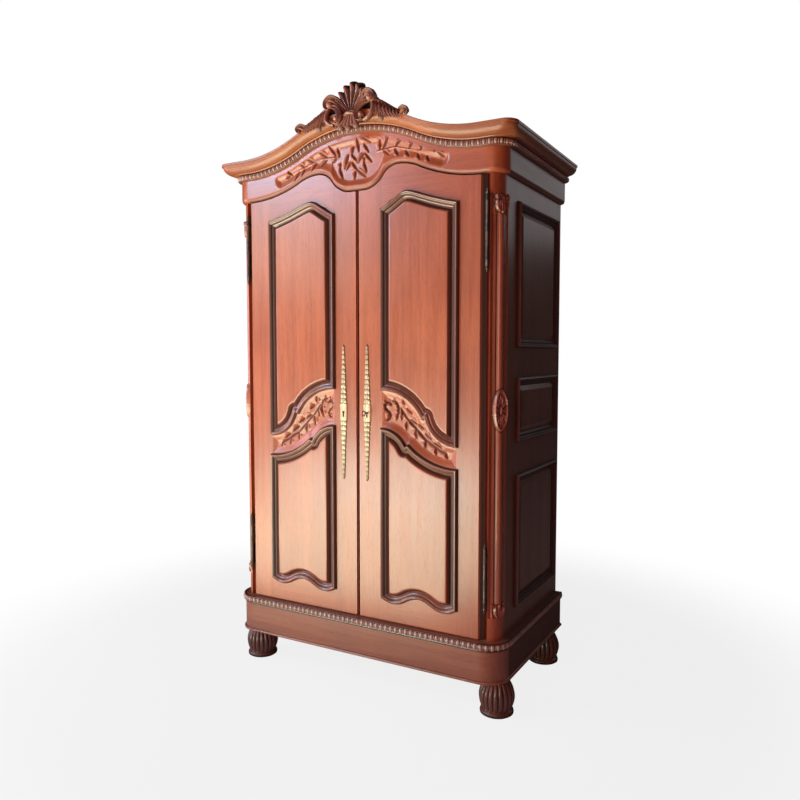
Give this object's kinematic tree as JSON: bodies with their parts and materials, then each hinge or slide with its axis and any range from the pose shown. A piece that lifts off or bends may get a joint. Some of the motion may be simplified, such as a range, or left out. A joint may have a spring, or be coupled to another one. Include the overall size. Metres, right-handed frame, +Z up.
{
  "type": "armoire",
  "caption": "Tall carved mahogany wardrobe with two panelled doors, an arched cornice with a shell crest, bun feet, brass lock plates with a key, a hat shelf and a hanging rail.",
  "frame": {"origin": "on the floor, in the middle of the width and of the whole depth", "axes": "+Z up, the doors face -Y, +X to the right as one faces the doors"},
  "size_m": [1.3, 0.748, 2.331],
  "materials": {
    "mahogany": "polished",
    "panel_mahogany": "polished",
    "carved_mahogany": "glazed, semi-gloss",
    "inner_wood": "waxed",
    "brass": "aged, polished",
    "bronze": "dark patinated",
    "steel": "brushed"
  },
  "bodies": {
    "carcass": {"foot_front_left": "mahogany", "foot_front_right": "mahogany", "foot_rear_left": "mahogany", "foot_rear_right": "mahogany", "plinth_front": "mahogany", "plinth_sides": "mahogany", "plinth_rear": "inner_wood", "plinth_carved_band": "carved_mahogany", "plinth_lip": "mahogany", "base_deck": "inner_wood", "corner_blocks": "inner_wood", "post_front_left": "mahogany", "post_front_right": "mahogany", "pilaster_left": "carved_mahogany", "pilaster_right": "carved_mahogany", "side_frame_left": "mahogany", "side_frame_right": "mahogany", "side_panels_left": "panel_mahogany", "side_panels_right": "panel_mahogany", "side_mouldings_left": "mahogany", "side_mouldings_right": "mahogany", "posts_rear": "mahogany", "frieze_front": "mahogany", "frieze_sides": "mahogany", "cornice_band": "carved_mahogany", "cornice_front": "mahogany", "cornice_sides": "mahogany", "crest_shell": "carved_mahogany", "crest_leaves": "carved_mahogany", "top_board": "inner_wood", "back_boards": "inner_wood", "hat_shelf": "inner_wood", "hanging_rail": "brass", "shelf_cleats": "inner_wood", "post_hinge_halves": "bronze", "threshold": "inner_wood"},
    "left_door": {"left_hinge_stile": "mahogany", "left_lock_stile": "mahogany", "left_top_rail": "mahogany", "left_mid_rail": "mahogany", "left_bottom_rail": "mahogany", "left_panels": "panel_mahogany", "left_mouldings": "mahogany", "left_escutcheon": "brass", "left_hinge_halves": "bronze", "left_bolt_guides": "steel"},
    "right_door": {"right_hinge_stile": "mahogany", "right_lock_stile": "mahogany", "right_top_rail": "mahogany", "right_mid_rail": "mahogany", "right_bottom_rail": "mahogany", "right_panels": "panel_mahogany", "right_mouldings": "mahogany", "right_escutcheon": "brass", "right_hinge_halves": "bronze", "lock_case": "steel"},
    "key": {"key": "brass"},
    "lock_bolt": {"lock_bolt": "steel"},
    "top_bolt": {"left_top_bolt": "steel"},
    "bottom_bolt": {"left_bottom_bolt": "steel"}
  },
  "joints": [
    {"name": "left_door_hinge", "type": "hinge", "parent": "carcass", "child": "left_door", "pos_m": [-0.535, -0.309, 0.287], "axis": [0, 0, -1], "range_deg": [0, 120]},
    {"name": "right_door_hinge", "type": "hinge", "parent": "carcass", "child": "right_door", "pos_m": [0.535, -0.309, 0.287], "axis": [0, 0, 1], "range_deg": [0, 120]},
    {"name": "key_turn", "type": "hinge", "parent": "right_door", "child": "key", "pos_m": [0.043, -0.306, 1.09], "axis": [0, 1, 0], "range_deg": [0, 180]},
    {"name": "lock_bolt_slide", "type": "slide", "parent": "right_door", "child": "lock_bolt", "axis": [-1, 0, 0], "range_m": [0, 0.014]},
    {"name": "top_bolt_slide", "type": "slide", "parent": "left_door", "child": "top_bolt", "axis": [0, 0, 1], "range_m": [0, 0.02]},
    {"name": "bottom_bolt_slide", "type": "slide", "parent": "left_door", "child": "bottom_bolt", "axis": [0, 0, -1], "range_m": [0, 0.02]}
  ],
  "couplings": [
    {"joint": "key_turn", "follows": "lock_bolt_slide", "rad_per_m": 224.39}
  ]
}
